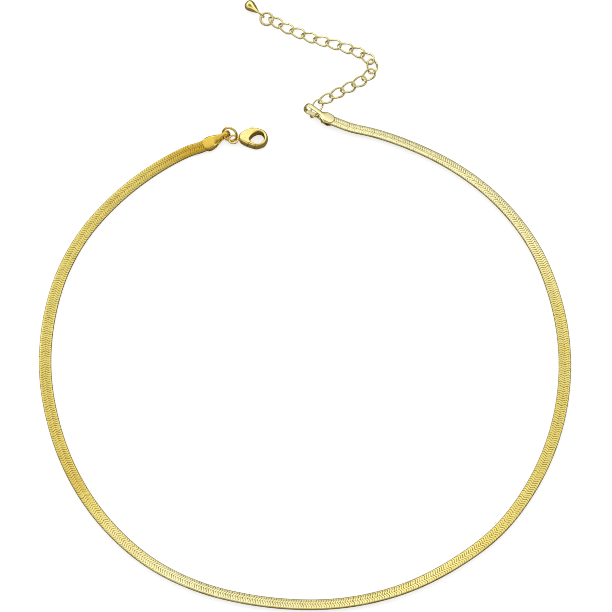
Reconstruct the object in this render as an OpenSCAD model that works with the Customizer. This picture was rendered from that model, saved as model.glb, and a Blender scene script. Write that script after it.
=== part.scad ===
// Flat herringbone necklace laid open in a loop, with a lobster clasp on the left
// end and an extender chain with a ring and a small teardrop on the right end.
// Millimetres, +Z up; the clasp and the extender lie at the far side, towards +Y.

/* [Band] */
// Width of the woven band across its flat face, in mm
band_w = 3.1; // [2.4:0.1:4.2]
// Thickness of the woven band, in mm
band_t = 0.9; // [0.7:0.05:1.2]
// Radius of the near-round loop the band is laid in, in mm
loop_r = 64.3; // [58:0.1:76]

/* [End caps] */
// How far a cap leaf overhangs the band's edge on each side, in mm
cap_overhang = 0.2; // [0.1:0.05:0.4]
// Length of a cap leaf from its round rim to the neck, in mm
leaf_l = 4.3; // [3.6:0.1:5.4]
// How much of the band sits between the two leaves, in mm
cap_grip = 2.4; // [1.6:0.1:3]
// Thickness of the folded strip the cap is made of, in mm
strip_t = 0.34; // [0.3:0.02:0.5]
// Width of the strip at the neck and round the eye, in mm
strip_w = 1.0; // [0.9:0.05:1.3]
// Inner radius of the round eye at the fold, in mm
eye_r = 1.15; // [1:0.05:1.3]
// Length of the left cap from rim to the end of its eye, in mm
cap_l_left = 7.7; // [7.3:0.1:9.5]
// Length of the right cap from rim to the end of its eye, in mm
cap_l_right = 8.5; // [7.5:0.1:9.5]

/* [Clasp] */
// Length of the clasp body, in mm
clasp_l = 7.8; // [7:0.1:9]
// Thickness of the clasp body, in mm
clasp_t = 2.6; // [2.4:0.1:3.2]
// Thickness of the trigger plate inside its slot, in mm
trigger_t = 1.0; // [0.8:0.05:1.1]
// Diameter of the trigger's pin, in mm
pin_d = 0.6; // [0.5:0.05:0.8]
// Outer diameter of the eyelet at the clasp's tail, in mm
eyelet_d = 2.8; // [2.7:0.05:3.1]
// Outer diameter of the ring between the left cap and the clasp, in mm
clasp_ring_d = 4.4; // [4.2:0.1:4.8]
// Wire diameter of that ring and of the eyelet, in mm
ring_wire = 0.55; // [0.45:0.05:0.6]

/* [Extender] */
// Length of one curb link over its outside, in mm
link_l = 4.42; // [4.2:0.02:4.8]
// Length of the longer oval ring that ties the extender to the right cap, in mm
first_link_l = 5.8; // [5:0.1:6]
// Width of one curb link over its outside, in mm
link_w = 3.0; // [2.8:0.05:3.4]
// Wire diameter of that longer ring, in mm
first_link_wire = 0.4; // [0.34:0.01:0.44]
// Wire diameter of the other links, in mm
link_wire = 0.47; // [0.34:0.01:0.5]
// Wire diameter of the ring at the extender's free end, in mm
drop_ring_wire = 0.6; // [0.45:0.05:0.65]
// Outer diameter of the ring at the extender's free end, in mm
drop_ring_d = 3.8; // [3.6:0.1:4.4]
// Length of the teardrop without its loop, in mm
drop_l = 4.9; // [4.2:0.1:6.5]
// Largest diameter of the teardrop, in mm
drop_d = 2.8; // [2.2:0.1:3.4]

/* [Hidden] */

gold = [0.86, 0.71, 0.33];
gold_pale = [0.93, 0.82, 0.5];

// The way the band lies: angle round the loop, shift outwards in mm, lean of the
// flat face in degrees (outer edge up is positive) and lift off the table in mm.
band_route = [
    [112.3, -1.4, 4, 0.68], [115, -1.4, 4, 0.36], [118, -0.9, 4, 0.12], [122, -0.7, 4, 0],
    [130, -0.5, 4, 0], [140, -0.1, 4, 0], [150, 0.4, 0, 0], [160, 0.5, 0, 0],
    [172, 0.2, 0, 0], [184, 0, 2, 0], [196, -0.2, 6, 0], [208, 0, 9, 0],
    [220, 0.3, 14, 0], [235, 0.5, 19, 0], [247, 0, 24, 0], [257, -0.6, 25, 0],
    [267, -0.8, 25, 0], [280, -0.5, 26, 0], [292, -0.2, 25, 0], [304, 0, 20, 0],
    [316, 0.5, 17, 0], [328, 0.3, 14, 0], [342, 0.1, 8, 0], [358, 0, 2, 0],
    [374, 0.1, -4, 0], [387, 0.4, -13, 0], [400, 0.2, -16, 0], [412, -0.3, -17, 0],
    [424, -0.8, -21, 0], [434, -0.8, -21, 0.04], [439, -0.8, -20, 0.22],
    [443, 0.1, -20, 0.46], [445.5, 0.95, -20, 0.72]
];
loop_mid = [0.05, -17.08];
route_steps = 3;

// Cross-section of the band in shares of half its width and half its thickness.
band_section = [
    [1, 0.35], [0.92, 0.8], [0.6, 0.95], [0, 1], [-0.6, 0.95], [-0.92, 0.8], [-1, 0.35],
    [-1, -0.35], [-0.92, -0.8], [-0.6, -0.95], [0, -1], [0.6, -0.95], [0.92, -0.8], [1, -0.35]
];

// Outline of a cap leaf: share of its length, share of half its width.
leaf_outline = [
    [0, 0], [0.01, 0.3], [0.05, 0.6], [0.12, 0.84], [0.22, 0.97], [0.32, 1], [0.45, 0.95],
    [0.58, 0.84], [0.7, 0.69], [0.81, 0.52], [0.91, 0.38]
];
cap_turn_left = 6;
cap_turn_right = -7;
band_fit = 0.08;
fold_start = 0.9;
eye_bend = 75;
cut_past = 0.2;

// The ring's centre from the left cap's eye, its heading and how far its top leans back.
ring_from_eye = [1.28, -0.19, 2.31];
ring_heading = -23;
ring_lean = 30;
eyelet_from_ring = [0.89, -0.88];

// Clasp outline and hole as shares of the clasp's length, from the tail towards the nose.
claw_outline = [
    [0.01, -0.04], [0.02, 0.05], [0.065, 0.12], [0.175, 0.21], [0.335, 0.285], [0.575, 0.315],
    [0.775, 0.27], [0.91, 0.17], [0.985, 0], [0.96, -0.17], [0.865, -0.31], [0.68, -0.385],
    [0.56, -0.395], [0.4, -0.345], [0.25, -0.285], [0.11, -0.2], [0.05, -0.13]
];
claw_hole = [
    [0.385, -0.13], [0.41, -0.05], [0.47, 0.035], [0.55, 0.1], [0.64, 0.14], [0.73, 0.14],
    [0.8, 0.09], [0.84, 0.01], [0.85, -0.085], [0.82, -0.175], [0.75, -0.24], [0.66, -0.27],
    [0.57, -0.25], [0.46, -0.185]
];
tail_from_eyelet = [1.2, 0.45];
neck_w = 0.7;
pivot_share = [0.225, -0.092];
seam_share = [0.57, -0.355];
edge_steps = [[0, 0.62], [0.1, 0.3], [0.24, 0.1], [0.5, 0], [0.76, 0.1], [0.9, 0.3], [1, 0.62]];
claw_round = 0.7;
window_round = 0.4;
window_flare = 0.3;
gate_open = 24;
stub_way = 62;
stub_w = 1.1;
stub_reach = 4.15;
slot_reach = 6;
hub_r = 0.85;
gate_out = 1.6;
gate_in = 1.2;
cheek_r = 1.75;
slot_play = 0.12;
plate_w = 0.85;
plate_lap = 0.5;
pin_play = 0.05;
pin_seat = 0.02;
pin_inset = 0.1;

// Headings of the sixteen links from the right cap to the free end, in degrees.
link_headings = [67, 30, 30, 30, 31, 46, 93, 139, 156, 159, 163, 164, 157, 157, 152, 143];
first_link_from_eye = [1.77, 0.64];
link_play = 0.12;
turn_draw = 0.012;
link_twist = 0.42;
link_z = 0.69;
link_points = 16;
wire_sides = 6;

link_leans = [-19, -9, -3.4, 0, 0, 0, 0, 0, 0, 0, 0, 0, 0, 0, 0, 4];
link_rises = [0.25, 0.14, 0.09, 0, 0, 0, 0, 0, 0, 0, 0, 0, 0, 0, 0, 0.06];

// The free ring's centre from the last link, its height and how it leans on that link.
ring_from_link = [-2.37, 0.85];
free_ring_z = 0.77;
free_ring_tilt = 16;
free_ring_way = 80;
ring_seam = 5;
seam_way = 164;

// The teardrop: its loop goes round the free ring, its axis points away from it.
drop_way = 141;
drop_pitch = -8.2;
bail_wire = 0.3;
bail_d = 1.7;
bail_z = 0.87;
bail_sink = 0.02;
drop_profile = [
    [0, 0.1], [0.08, 0.15], [0.18, 0.27], [0.3, 0.45], [0.42, 0.64], [0.54, 0.82], [0.64, 0.94],
    [0.73, 1], [0.82, 0.97], [0.89, 0.85], [0.95, 0.64], [0.985, 0.36], [1, 0]
];

// Small helpers.
function cr(a, b, c, d, t) = 0.5 * ((2 * b) + (c - a) * t + (2 * a - 5 * b + 4 * c - d) * t * t
    + (3 * b - a - 3 * c + d) * t * t * t);
rows_n = len(band_route);
function row(i) = i < 0 ? 2 * band_route[0] - band_route[1]
    : i >= rows_n ? 2 * band_route[rows_n - 1] - band_route[rows_n - 2] : band_route[i];
function route_row(i, t) = cr(row(i - 1), row(i), row(i + 1), row(i + 2), t);
function route_xy(r) = loop_mid + (loop_r + r[1]) * [cos(r[0]), sin(r[0])];
function ring_shape(r) = [for (p = band_section) [
    p[0] * band_w / 2 * cos(r[2]) - p[1] * band_t / 2 * sin(r[2]),
    p[0] * band_w / 2 * sin(r[2]) + p[1] * band_t / 2 * cos(r[2])
]];
function half_height(r) = max([for (p = ring_shape(r)) p[1]]);
rows = concat(
    [for (i = [0:len(band_route) - 2]) for (k = [0:route_steps - 1]) route_row(i, k / route_steps)],
    [row(len(band_route) - 1)]
);
last = len(rows) - 1;
way = [for (r = rows) route_xy(r)];
function heading_at(i) = let (d = way[min(i + 1, last)] - way[max(i - 1, 0)]) atan2(d[1], d[0]);

left_heading = heading_at(0) + 180 + cap_turn_left;
right_heading = heading_at(last) + cap_turn_right;
left_end = [way[0][0], way[0][1], rise_at(0)];
right_end = [way[last][0], way[last][1], rise_at(last)];
function rise_at(i) = half_height(rows[i]) + max(0, rows[i][3]);
left_pitch = atan((rise_at(0) - rise_at(route_steps)) / norm(way[0] - way[route_steps]));
right_pitch = atan((rise_at(last) - rise_at(last - route_steps)) / norm(way[last] - way[last - route_steps]));
left_lean = rows[0][2];
right_lean = -rows[last][2];
cap_w = band_w + 2 * cap_overhang;
leaf_gap = band_t / 2 + band_fit;
eye_out = eye_r + strip_t;
function eye_x(l) = l - cap_grip - eye_out;
function along(p, h, d) = [p[0] + d * cos(h), p[1] + d * sin(h)];
left_eye = along(left_end, left_heading, eye_x(cap_l_left));
right_eye = along(right_end, right_heading, eye_x(cap_l_right));
ring_spot = left_eye + [ring_from_eye[0], ring_from_eye[1]];
eyelet_spot = ring_spot + eyelet_from_ring;
tail_spot = eyelet_spot + tail_from_eyelet;
pivot = clasp_l * pivot_share;
seam = clasp_l * seam_share;
gate_way = atan2(seam[1] - pivot[1], seam[0] - pivot[0]);
gate_l = norm(seam - pivot);
slot_t = trigger_t + 2 * slot_play;

function length_of(i) = i == 0 ? first_link_l : link_l;
function wire_of(i) = i == 0 ? first_link_wire : link_wire;
function pitch_to(i) = (length_of(i - 1) + length_of(i)) / 2 - wire_of(i - 1) - wire_of(i) - link_play;
function link_at(i) = i == 0 ? right_eye + first_link_from_eye
    : let (a = link_headings[i - 1], b = link_headings[i])
        along(link_at(i - 1), (a + b) / 2, pitch_to(i) - abs(b - a) * turn_draw);
free_ring = link_at(15) + ring_from_link;

// Rings of points of equal count joined into one closed skin.
module skin(rings) {
    n = len(rings[0]);
    m = len(rings);
    sides = [for (i = [0:m - 2]) for (j = [0:n - 1])
        [i * n + j, i * n + (j + 1) % n, (i + 1) * n + (j + 1) % n, (i + 1) * n + j]];
    polyhedron(
        points = [for (r = rings) for (p = r) p],
        faces = concat([[for (j = [0:n - 1]) n - 1 - j]], sides, [[for (j = [0:n - 1]) (m - 1) * n + j]]),
        convexity = 6
    );
}

module chain_band() {
    color(gold)
    skin([for (i = [last:-1:0])
        let (h = heading_at(i), z = rise_at(i))
        [for (p = ring_shape(rows[i])) [way[i][0] + p[0] * sin(h), way[i][1] - p[0] * cos(h), z + p[1]]]
    ]);
}

// One folded strip: two leaves over the band's end and a round eye at the fold.
module cap_strip(l) {
    x0 = -cap_grip;
    x1 = leaf_l - cap_grip;
    xe = eye_x(l);
    half = cap_w / 2;
    neck = strip_w / 2;
    arc = [for (a = [-eye_bend:15:eye_bend]) a];
    xb = x1 - fold_start;
    outer = concat([[x0, -leaf_gap - strip_t], [xb, -leaf_gap - strip_t]],
        [for (a = arc) [xe + eye_out * cos(a), eye_out * sin(a)]],
        [[xb, leaf_gap + strip_t], [x0, leaf_gap + strip_t]]);
    inner = concat([[x0 - cut_past, -leaf_gap], [xb, -leaf_gap]],
        [for (a = arc) [xe + eye_r * cos(a), eye_r * sin(a)]],
        [[xb, leaf_gap], [x0 - cut_past, leaf_gap]]);
    upper = [for (p = leaf_outline) [x0 + p[0] * leaf_l, p[1] * half]];
    lower = [for (i = [len(leaf_outline) - 1:-1:1]) [x0 + leaf_outline[i][0] * leaf_l, -leaf_outline[i][1] * half]];
    xt = xe + eye_out + cut_past;
    plan = concat(upper, [[x1, neck], [xt, neck], [xt, -neck], [x1, -neck]], lower);
    intersection() {
        rotate([90, 0, 0])
            linear_extrude(height = cap_w + 2 * cut_past, center = true)
                difference() {
                    polygon(outer);
                    polygon(inner);
                }
        linear_extrude(height = 4 * eye_out, center = true)
            polygon(plan);
    }
}

module end_cap_left() {
    color(gold_pale)
    translate(left_end)
        rotate([0, -left_pitch, left_heading])
            rotate([left_lean, 0, 0])
                cap_strip(cap_l_left);
}

module end_cap_right() {
    color(gold_pale)
    translate(right_end)
        rotate([0, -right_pitch, right_heading])
            rotate([right_lean, 0, 0])
                cap_strip(cap_l_right);
}

module wire_ring(d, wire) {
    rotate_extrude($fn = 48)
        translate([d / 2 - wire / 2, 0])
            circle(d = wire, $fn = 24);
}

module clasp_ring() {
    color(gold)
    translate([ring_spot[0], ring_spot[1], ring_from_eye[2]])
        rotate([0, 0, ring_heading])
            rotate([90 - ring_lean, 0, 0])
                wire_ring(clasp_ring_d, ring_wire);
}

// A closed curve through chosen points, moved in along its normals by an inset.
function curve(t, s) = let (n = len(t)) [for (i = [0:n - 1]) for (k = [0:s - 1])
    cr(t[(i + n - 1) % n], t[i], t[(i + 1) % n], t[(i + 2) % n], k / s) * clasp_l];
function moved(c, d) = let (n = len(c)) [for (i = [0:n - 1])
    let (v = c[(i + 1) % n] - c[(i + n - 1) % n], u = v / norm(v)) c[i] + d * [u[1], -u[0]]];
function level(c, z) = [for (p = c) [p[0], p[1], z]];

module claw_solid() {
    shape = curve(claw_outline, 3);
    skin([for (e = edge_steps) level(moved(shape, e[1] * claw_round), e[0] * clasp_t)]);
}

module claw_window() {
    shape = curve(claw_hole, 2);
    skin(concat(
        [level(moved(shape, -window_flare), -cut_past / 2)],
        [for (e = edge_steps) level(moved(shape, -e[1] * claw_round * window_round), e[0] * clasp_t)],
        [level(moved(shape, -window_flare), clasp_t + cut_past / 2)]
    ));
}

// The flat way of a straight arm of the trigger as it turns, with room on both sides.
module arm_sweep(way, w, l) {
    steps = 6;
    for (a = [0, gate_open])
        rotate([0, 0, way + a])
            translate([0, -w / 2 - slot_play])
                square([l, w + 2 * slot_play]);
    polygon(concat([[0, 0]],
        [for (i = [0:steps]) let (t = way + gate_open * i / steps) [l * cos(t), l * sin(t)]]));
}

// Room for the trigger: a slot in the middle plane and a full cut where the gate shows.
module trigger_slot() {
    translate([pivot[0], pivot[1], clasp_t / 2 - slot_t / 2])
        linear_extrude(height = slot_t) {
            circle(r = hub_r + slot_play, $fn = 48);
            arm_sweep(gate_way, plate_w, gate_l);
            arm_sweep(stub_way, stub_w, slot_reach);
        }
}

// The stretch of the claw that the gate takes up: smaller by play for the gate itself.
module gate_stretch(play) {
    translate([pivot[0], pivot[1], 0])
        difference() {
            intersection() {
                rotate([0, 0, gate_way])
                    translate([0, -gate_out, -cut_past])
                        cube([gate_l + gate_out, gate_out + gate_in, clasp_t + 2 * cut_past]);
                translate([0, 0, -2 * cut_past])
                    cylinder(r = gate_l - slot_play / 2 + play, h = clasp_t + 4 * cut_past, $fn = 96);
            }
            translate([0, 0, -2 * cut_past])
                cylinder(r = cheek_r + slot_play - play, h = clasp_t + 4 * cut_past, $fn = 64);
        }
}

module clasp_body() {
    color(gold_pale)
    translate([tail_spot[0], tail_spot[1], 0]) {
        difference() {
            claw_solid();
            claw_window();
            trigger_slot();
            gate_stretch(slot_play);
            translate([pivot[0], pivot[1], -cut_past])
                cylinder(d = pin_d + 2 * pin_seat, h = clasp_t + 2 * cut_past, $fn = 48);
        }
        translate([-tail_from_eyelet[0], -tail_from_eyelet[1], clasp_t / 2]) {
            wire_ring(eyelet_d, ring_wire);
            rotate([0, 0, atan2(tail_from_eyelet[1], tail_from_eyelet[0])])
                translate([eyelet_d / 2 - ring_wire / 2, -neck_w / 2, -ring_wire / 2])
                    cube([neck_w, neck_w, ring_wire]);
        }
    }
}

module clasp_trigger() {
    base = clasp_t / 2 - trigger_t / 2;
    color(gold)
    translate([tail_spot[0], tail_spot[1], 0]) {
        difference() {
            union() {
                translate([pivot[0], pivot[1], base]) {
                    cylinder(r = hub_r, h = trigger_t, $fn = 48);
                    rotate([0, 0, gate_way])
                        translate([0, -plate_w / 2, 0])
                            cube([cheek_r + plate_lap, plate_w, trigger_t]);
                    rotate([0, 0, stub_way])
                        translate([0, -stub_w / 2, 0])
                            cube([stub_reach, stub_w, trigger_t]);
                }
                intersection() {
                    difference() {
                        claw_solid();
                        claw_window();
                    }
                    gate_stretch(0);
                }
            }
            translate([pivot[0], pivot[1], -cut_past])
                cylinder(d = pin_d + 2 * pin_play, h = clasp_t + 2 * cut_past, $fn = 48);
        }
    }
}

module clasp_pin() {
    color(gold)
    translate([tail_spot[0] + pivot[0], tail_spot[1] + pivot[1], pin_inset])
        cylinder(d = pin_d, h = clasp_t - 2 * pin_inset, $fn = 48);
}

// A twisted oval link of round wire.
module curb_link(l, wire) {
    a = (l - wire) / 2;
    b = (link_w - wire) / 2;
    n = round(link_points);
    sides = round(wire_sides);
    function centre(t) = [a * cos(t), b * sin(t), link_twist * sin(2 * t)];
    function hoop(t) = let (
        d = [-a * sin(t), b * cos(t), 2 * link_twist * cos(2 * t)],
        u = d / norm(d),
        s = cross(u, [0, 0, 1]) / norm(cross(u, [0, 0, 1])),
        w = cross(s, u)
    ) [for (k = [0:sides - 1]) let (q = 360 * k / sides)
        centre(t) + wire / 2 * (s * cos(q) + w * sin(q))];
    hoops = [for (i = [0:n - 1]) hoop(360 * i / n)];
    polyhedron(
        points = [for (h = hoops) for (p = h) p],
        faces = [for (i = [0:n - 1]) for (k = [0:sides - 1])
            let (j = (i + 1) % n, m = (k + 1) % sides)
            [i * sides + k, i * sides + m, j * sides + m, j * sides + k]],
        convexity = 6
    );
}

module placed_link(i) {
    color(i % 2 == 0 ? gold_pale : gold)
    translate([link_at(i)[0], link_at(i)[1], link_z + link_rises[i]])
        rotate([0, 0, link_headings[i]])
            rotate([link_leans[i], 0, 0])
                curb_link(length_of(i), wire_of(i));
}

module extender_link_01() { placed_link(0); }
module extender_link_02() { placed_link(1); }
module extender_link_03() { placed_link(2); }
module extender_link_04() { placed_link(3); }
module extender_link_05() { placed_link(4); }
module extender_link_06() { placed_link(5); }
module extender_link_07() { placed_link(6); }
module extender_link_08() { placed_link(7); }
module extender_link_09() { placed_link(8); }
module extender_link_10() { placed_link(9); }
module extender_link_11() { placed_link(10); }
module extender_link_12() { placed_link(11); }
module extender_link_13() { placed_link(12); }
module extender_link_14() { placed_link(13); }
module extender_link_15() { placed_link(14); }
module extender_link_16() { placed_link(15); }

module drop_ring() {
    color(gold)
    translate([free_ring[0], free_ring[1], free_ring_z])
        rotate([0, -free_ring_tilt, free_ring_way])
            rotate([0, 0, seam_way])
                rotate_extrude(angle = 360 - ring_seam, $fn = 48)
                    translate([drop_ring_d / 2 - drop_ring_wire / 2, 0])
                        circle(d = drop_ring_wire, $fn = 24);
}

// Placed with the loop's centre at the origin and the drop's axis along +X.
module drop() {
    reach = drop_ring_d / 2 - drop_ring_wire / 2;
    color(gold_pale)
    translate([free_ring[0] + reach * cos(drop_way), free_ring[1] + reach * sin(drop_way), bail_z])
        rotate([0, drop_pitch, drop_way]) {
            rotate([90, 0, 0])
                wire_ring(bail_d, bail_wire);
            translate([bail_d / 2 - bail_wire - bail_sink, 0, 0])
                rotate([0, 90, 0])
                    rotate_extrude($fn = 40)
                        polygon(concat([[0, 0]],
                            [for (p = drop_profile) [p[1] * drop_d / 2, p[0] * drop_l]]));
        }
}

chain_band();
end_cap_left();
end_cap_right();
clasp_ring();
clasp_body();
clasp_trigger();
clasp_pin();
extender_link_01();
extender_link_02();
extender_link_03();
extender_link_04();
extender_link_05();
extender_link_06();
extender_link_07();
extender_link_08();
extender_link_09();
extender_link_10();
extender_link_11();
extender_link_12();
extender_link_13();
extender_link_14();
extender_link_15();
extender_link_16();
drop_ring();
drop();
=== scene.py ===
# %% [markdown]
# # A flat herringbone necklace, laid open on a pale table
#
# The necklace lies in a wide loop. A woven band runs all the way round, each end
# sits in a folded leaf-shaped cap, a lobster clasp hangs from the left cap and an
# extender of curb links with a ring and a small teardrop hangs from the right one.
#
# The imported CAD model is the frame. It says where everything is, and it stays as it
# is. This script builds the fine version of each piece in the same place, in metres.

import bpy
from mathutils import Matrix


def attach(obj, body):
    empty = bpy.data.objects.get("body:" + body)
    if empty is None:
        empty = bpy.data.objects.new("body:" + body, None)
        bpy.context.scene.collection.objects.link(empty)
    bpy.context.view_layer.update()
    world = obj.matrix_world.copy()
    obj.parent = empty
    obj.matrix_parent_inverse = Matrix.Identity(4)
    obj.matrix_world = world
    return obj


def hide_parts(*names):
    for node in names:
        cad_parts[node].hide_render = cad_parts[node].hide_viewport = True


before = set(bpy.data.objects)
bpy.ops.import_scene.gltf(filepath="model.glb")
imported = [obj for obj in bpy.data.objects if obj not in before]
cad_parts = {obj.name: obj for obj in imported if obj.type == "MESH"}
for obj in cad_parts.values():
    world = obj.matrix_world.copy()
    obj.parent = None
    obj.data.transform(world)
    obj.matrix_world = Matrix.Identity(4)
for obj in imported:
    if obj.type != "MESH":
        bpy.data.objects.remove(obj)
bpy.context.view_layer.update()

# %% [markdown]
# ## Working units and small tools
#
# Jewellery is measured in millimetres, so every shape below is worked out in
# millimetres with numpy and turned to metres only when its mesh is made. Numpy
# handles a whole array of points at once, which matters here: the band alone has
# more than six hundred rows of strands. Chance is seeded, so that each run gives
# the same necklace.

# %% Tools for numbers
import bpy
import math

import numpy as np
from mathutils import Matrix, Vector

MM = 0.001
rng = np.random.default_rng(11)


def turn(degrees, axis):
    """A turn about one axis as a 4x4 matrix, with right-handed angles as in the CAD."""
    return np.array(Matrix.Rotation(math.radians(degrees), 4, axis))


def shift(x, y, z):
    """A move as a 4x4 matrix."""
    return np.array(Matrix.Translation((x, y, z)))


def placed(points, matrix):
    """Points moved by a 4x4 matrix."""
    return points @ matrix[:3, :3].T + matrix[:3, 3]


def put(rings, matrix):
    """An array of rings of points moved by a 4x4 matrix."""
    return placed(rings.reshape(-1, 3), matrix).reshape(rings.shape)


# %% Soft steps, directions and oblongs
def eased(share):
    """A soft step from 0 to 1."""
    share = np.clip(share, 0, 1)
    return share * share * (3 - 2 * share)


def unit(ways):
    """Directions made one long."""
    return ways / np.linalg.norm(ways, axis=-1, keepdims=True)


def oblong(angle, across, up):
    """A soft oblong, one half wide and high: powers of 1 make a circle, less is squarer."""
    x, y = np.cos(angle), np.sin(angle)
    return np.sign(x) * np.abs(x)**across, np.sign(y) * np.abs(y)**up


print("one millimetre is", MM, "scene units")

# %% [markdown]
# ## From points to a mesh
#
# Nearly every piece of a chain is a tube of some kind: rings of points in a row,
# joined by four-sided faces. One function writes those faces, another one turns
# points and faces into a Blender object. A closed mesh has its faces pointing
# outwards when the volume summed over its faces is positive, so that is measured,
# and the faces are turned over where it comes out negative.

# %% Faces and volume
def quads(rings, points, loop_rings=False):
    """Faces that join rings of equally many points."""
    r = np.arange(rings if loop_rings else rings - 1)
    r, c = np.meshgrid(r, np.arange(points), indexing="ij")
    r2, c2 = (r + 1) % rings, (c + 1) % points
    corners = [r * points + c, r * points + c2, r2 * points + c2, r2 * points + c]
    return np.stack(corners, -1).reshape(-1, 4)


def volume_of(points, faces):
    """Signed volume of a closed mesh, from a fan of triangles in each face."""
    total = 0.0
    for k in range(1, faces.shape[1] - 1):
        a, b, c = points[faces[:, 0]], points[faces[:, k]], points[faces[:, k + 1]]
        total += np.einsum("ij,ij->", a, np.cross(b, c)) / 6
    return total


# %% Objects from points
def mesh_object(name, points, faces, more_faces=()):
    """A Blender object from points in millimetres, with faces pointing outwards."""
    if volume_of(points, faces) < 0:
        faces = faces[:, ::-1]
        more_faces = [f[::-1] for f in more_faces]
    mesh = bpy.data.meshes.new(name)
    mesh.from_pydata((points * MM).tolist(), [], faces.tolist() + [list(f) for f in more_faces])
    mesh.validate()
    mesh.shade_smooth()
    thing = bpy.data.objects.new(name, mesh)
    bpy.context.scene.collection.objects.link(thing)
    return thing


def tube(name, rings):
    """A closed skin over an array of rings, with a flat face at each end."""
    n, m = rings.shape[:2]
    ends = [list(range(m))[::-1], list(range((n - 1) * m, n * m))]
    return mesh_object(name, rings.reshape(-1, 3), quads(n, m), ends)


def hoop(name, rings):
    """A closed skin over rings that come back to the first one."""
    n, m = rings.shape[:2]
    return mesh_object(name, rings.reshape(-1, 3), quads(n, m, loop_rings=True))


def name_points(thing, attribute, values):
    """Keeps one number for each point of a mesh, for its material to read."""
    thing.data.attributes.new(attribute, "FLOAT", "POINT").data.foreach_set("value", values)


# %% Finishing a piece
def finish_piece(thing, material, body, stands_for):
    """Gives a piece its finish and its body, and hides the CAD node that it stands for."""
    thing.data.materials.clear()
    thing.data.materials.append(material)
    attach(thing, body)
    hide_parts(stands_for)


def sharpen(thing, degrees):
    """Keeps corners crisp where two faces meet at more than this angle."""
    thing.data.shade_smooth()
    thing.data.set_sharp_from_angle(angle=math.radians(degrees))


# %% [markdown]
# ## Colour and material tools
#
# A colour picked from a screen is an sRGB value, and a renderer adds up light in
# linear values, so each hex colour goes through one function. A second small
# function adds a node, sets its values and wires its inputs. What several materials
# share has a function too: a cloudy pattern whose scale is given in millimetres, the
# stretching of its values, and the gloss and relief of a metal.

# %% Tools for materials
def linear(hex_colour):
    """An sRGB hex colour as linear red, green, blue and alpha."""
    out = []
    for i in (1, 3, 5):
        c = int(hex_colour[i:i + 2], 16) / 255
        out.append(c / 12.92 if c <= 0.04045 else ((c + 0.055) / 1.055) ** 2.4)
    return (*out, 1.0)


def add(tree, kind, settings=None, links=None):
    """Adds one node. Settings name its options or its inputs, links wire its inputs."""
    node = tree.nodes.new(kind)
    for key, value in (settings or {}).items():
        if key in node.inputs:
            node.inputs[key].default_value = value
        else:
            setattr(node, key, value)
    for key, source in (links or {}).items():
        tree.links.new(source, node.inputs[key])
    return node


def new_material(name):
    """An empty material with its principled shader and its node tree."""
    material = bpy.data.materials.new(name)
    material.use_nodes = True
    return material, material.node_tree, material.node_tree.nodes["Principled BSDF"]


# %% Patterns and metal surfaces
def cloud(tree, size_mm, detail, distortion=0.0):
    """A cloudy pattern that is fixed to the piece."""
    where = add(tree, "ShaderNodeTexCoord")
    noise = add(tree, "ShaderNodeTexNoise",
                {"Scale": 1 / (size_mm * MM), "Detail": detail, "Distortion": distortion},
                {"Vector": where.outputs["Object"]})
    return noise.outputs["Fac"]


def spread(tree, value, low, high, new_low=0.0, new_high=1.0, curve="LINEAR"):
    """Stretches values from low to high onto new ones and cuts off the rest."""
    ends = {"From Min": low, "From Max": high, "To Min": new_low, "To Max": new_high}
    node = add(tree, "ShaderNodeMapRange", {"interpolation_type": curve, **ends}, {"Value": value})
    return node.outputs["Result"]


def metal_surface(tree, shader, colour, marks, rough, strength, depth_mm):
    """A metal of this colour whose marks vary the gloss and stand up a little."""
    shader.inputs["Metallic"].default_value = 1.0
    tree.links.new(colour, shader.inputs["Base Color"])
    tree.links.new(spread(tree, marks, 0.3, 0.7, *rough), shader.inputs["Roughness"])
    bump = add(tree, "ShaderNodeBump", {"Strength": strength, "Distance": depth_mm * MM}, {"Height": marks})
    tree.links.new(bump.outputs["Normal"], shader.inputs["Normal"])


print("mid grey of a screen in linear light:", round(linear("#808080")[0], 3))

# %% [markdown]
# ## Gold plating on rolled brass strands
#
# The band is brass wire, woven, rolled flat and plated with pale yellow gold. The
# rolling leaves each strand with a burnished top. The grooves between the strands and
# the outer edges of the band are painted a deeper gold. That is painted shade, for the
# light that reaches less far into the grooves and round the edges. The mesh keeps its
# strength in an attribute, from how deep each point lies: 0 on top of a strand and 1 at
# the bottom of a groove or at the band's edge. A second attribute, tone, is partly the
# plating and partly painted highlight: rich at the clasp's end, lemon along the sides,
# nearly cream at the front and the other end. Those cream stretches are painted
# highlight where the band catches the brightest light.
#
# The real marks of the rollers are about 0.02 mm apart, which no picture of a whole
# necklace can show, so they are drawn eight times coarser. To the eye they turn a
# mirror into a satin sheen, and that is why the roughness lies near 0.35.

# %% Colours and scales of the band's finish
GOLD_DEEP = "#D1AE3F"
GOLD_MIDDLE = "#E6D57B"
GOLD_PALE = "#F3ECB6"
# painted shade: the grooves and the band's edges are multiplied by this colour
GROOVE_PAINTED_SHADE = "#C0AC72"
plating_mm, plating_drift = 7, 0.16
# the painted groove shade is weakened in random patches of this size, down to this share
painted_shade_patch_mm, least_shade = 2.6, 0.45
roller_mark_mm, roller_mark_depth_mm = 0.16, 0.01
band_rough = (0.3, 0.4)
print("roller marks are drawn", round(roller_mark_mm / 0.02), "times too coarse, to show at all")


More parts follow.
